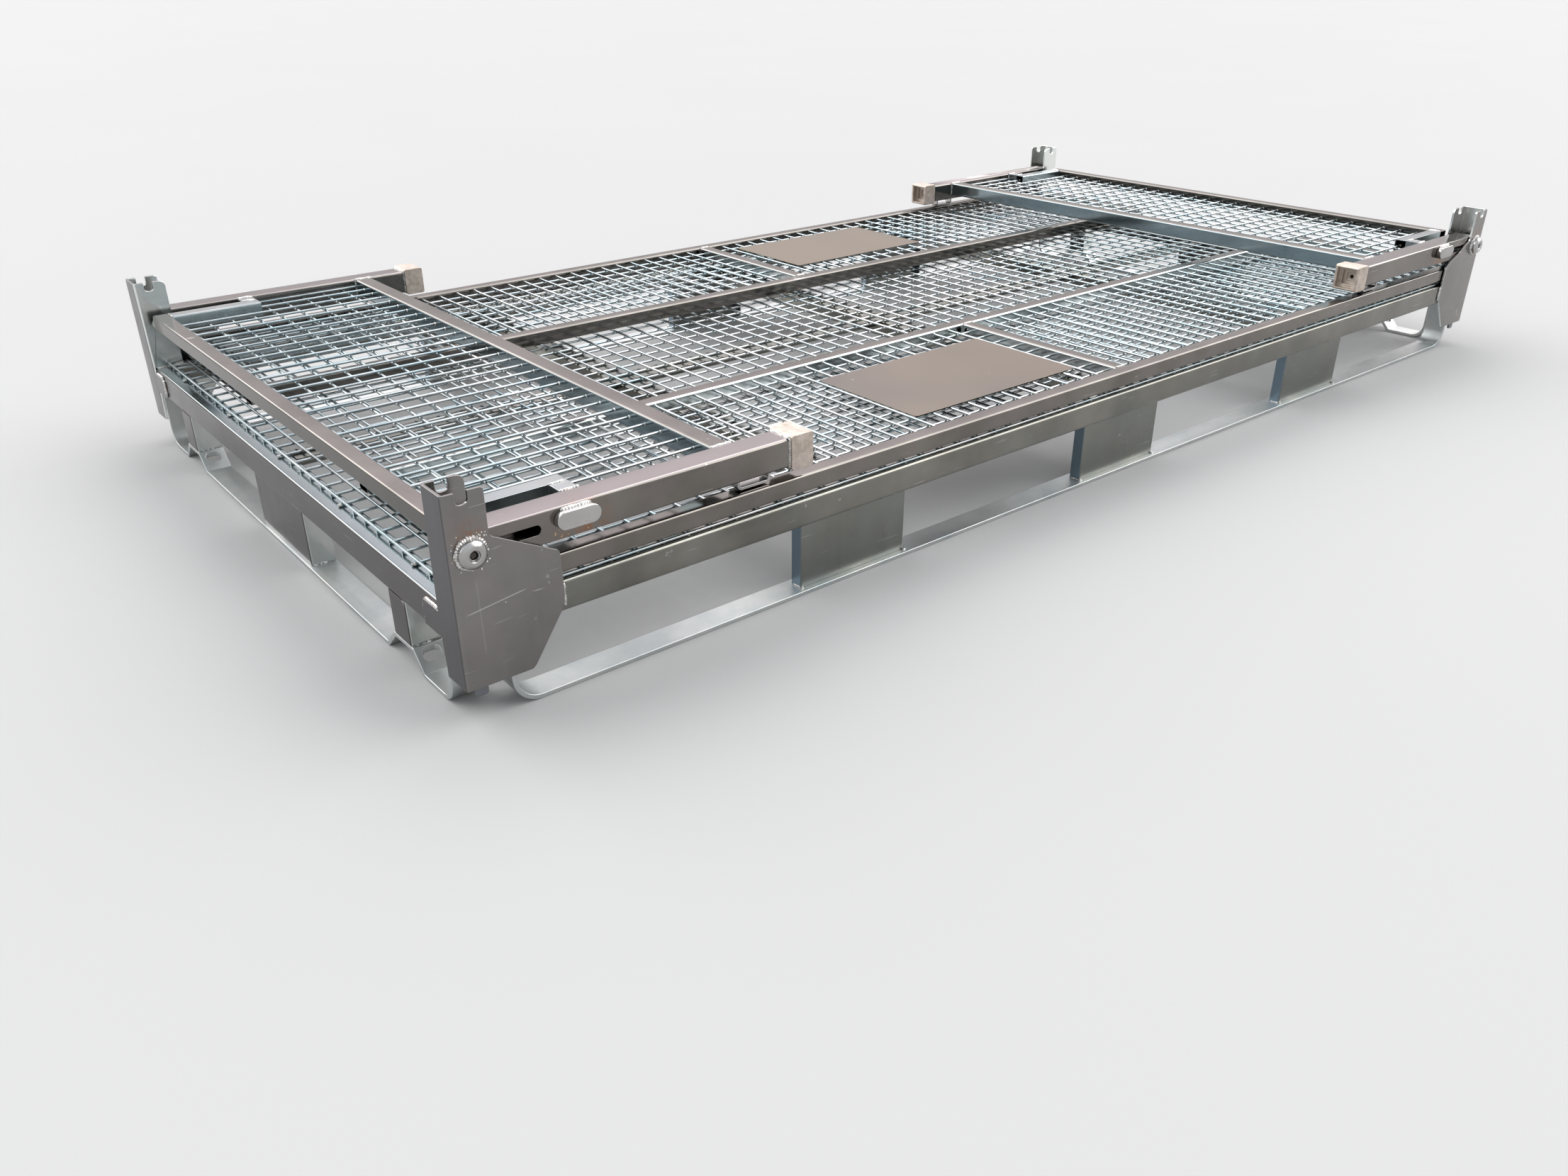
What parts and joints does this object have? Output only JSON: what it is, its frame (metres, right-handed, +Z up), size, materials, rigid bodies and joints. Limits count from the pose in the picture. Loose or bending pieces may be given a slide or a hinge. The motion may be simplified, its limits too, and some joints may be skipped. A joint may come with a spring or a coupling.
{
  "type": "folding wire mesh container",
  "caption": "Low stackable wire mesh container on skids, shown folded flat: hinged end walls lie over the side walls between notched corner posts.",
  "frame": {"origin": "middle of the footprint, on the ground", "axes": "+X along the long side, +Y across towards the back side, +Z up"},
  "size_m": [2.4, 1.24, 0.286],
  "materials": {
    "zinc_post": "bright zinc plate with rolled plate streaks, faint blue and mauve tints",
    "steel_pin": "zinc plated pin heads and lugs with weld spatter and light rust at the weld",
    "dark_steel": "dull zinc plated plate, mostly hidden",
    "zinc_rail": "zinc plated tube, blue grey with a mauve cast",
    "zinc_end_rail": "zinc plated channel, brownish face and lighter top flange",
    "zinc_skid": "zinc plated flat bar, teal tint, worn underneath",
    "zinc_block": "zinc plated folded plate with wavy reflections",
    "zinc_wire": "bright zinc plated round wire",
    "zinc_tube": "bright zinc plated square tube with milky streaks",
    "label_plate": "satin brownish plated sheet",
    "cast_cap": "raw beige cast steel, matt and grainy"
  },
  "bodies": {
    "base": {"post_front_left": "zinc_post", "post_front_right": "zinc_post", "post_back_left": "zinc_post", "post_back_right": "zinc_post", "pivot_pins_left": "steel_pin", "pivot_pins_right": "steel_pin", "stack_tongues": "dark_steel", "hinge_ears": "dark_steel", "long_rail_front": "zinc_rail", "long_rail_back": "zinc_rail", "end_rail_left": "zinc_end_rail", "end_rail_right": "zinc_end_rail", "long_skid_front": "zinc_skid", "long_skid_back": "zinc_skid", "end_skid_left": "zinc_skid", "end_skid_right": "zinc_skid", "foot_blocks_front": "zinc_block", "foot_blocks_back": "zinc_block", "end_blocks_left": "zinc_block", "end_blocks_right": "zinc_block", "floor_bearers": "zinc_rail", "floor_stringers": "zinc_rail", "floor_mesh": "zinc_wire"},
    "end_wall_left": {"endwall_left_uprights": "zinc_tube", "endwall_left_caps": "cast_cap", "endwall_left_top_rail": "zinc_tube", "endwall_left_low_rail": "zinc_tube", "endwall_left_stubs": "zinc_tube", "endwall_left_mesh": "zinc_wire", "endwall_left_lugs": "steel_pin", "endwall_left_rests": "steel_pin"},
    "end_wall_right": {"endwall_right_uprights": "zinc_tube", "endwall_right_caps": "cast_cap", "endwall_right_top_rail": "zinc_tube", "endwall_right_low_rail": "zinc_tube", "endwall_right_stubs": "zinc_tube", "endwall_right_mesh": "zinc_wire", "endwall_right_lugs": "steel_pin", "endwall_right_rests": "steel_pin"},
    "side_wall_front": {"sidewall_front_outer_rail": "zinc_tube", "sidewall_front_inner_rail": "zinc_tube", "sidewall_front_stiles": "zinc_tube", "sidewall_front_pivots": "dark_steel", "sidewall_front_mesh_a": "zinc_wire", "sidewall_front_mesh_b": "zinc_wire", "sidewall_front_label": "label_plate"},
    "side_wall_back": {"sidewall_back_outer_rail": "zinc_tube", "sidewall_back_inner_rail": "zinc_tube", "sidewall_back_stiles": "zinc_tube", "sidewall_back_pivots": "dark_steel", "sidewall_back_mesh_a": "zinc_wire", "sidewall_back_mesh_b": "zinc_wire", "sidewall_back_label": "label_plate"}
  },
  "joints": [
    {"name": "end_wall_left_fold", "type": "hinge", "parent": "base", "child": "end_wall_left", "pos_m": [-1.174, 0, 0.214], "axis": [0, -1, 0], "range_deg": [0, 90]},
    {"name": "end_wall_right_fold", "type": "hinge", "parent": "base", "child": "end_wall_right", "pos_m": [1.174, 0, 0.214], "axis": [0, 1, 0], "range_deg": [0, 90]},
    {"name": "side_wall_front_lift", "type": "hinge", "parent": "base", "child": "side_wall_front", "pos_m": [0, -0.59, 0.1645], "axis": [1, 0, 0], "range_deg": [0, 3.5]},
    {"name": "side_wall_back_lift", "type": "hinge", "parent": "base", "child": "side_wall_back", "pos_m": [0, 0.59, 0.1645], "axis": [-1, 0, 0], "range_deg": [0, 3.5]}
  ]
}
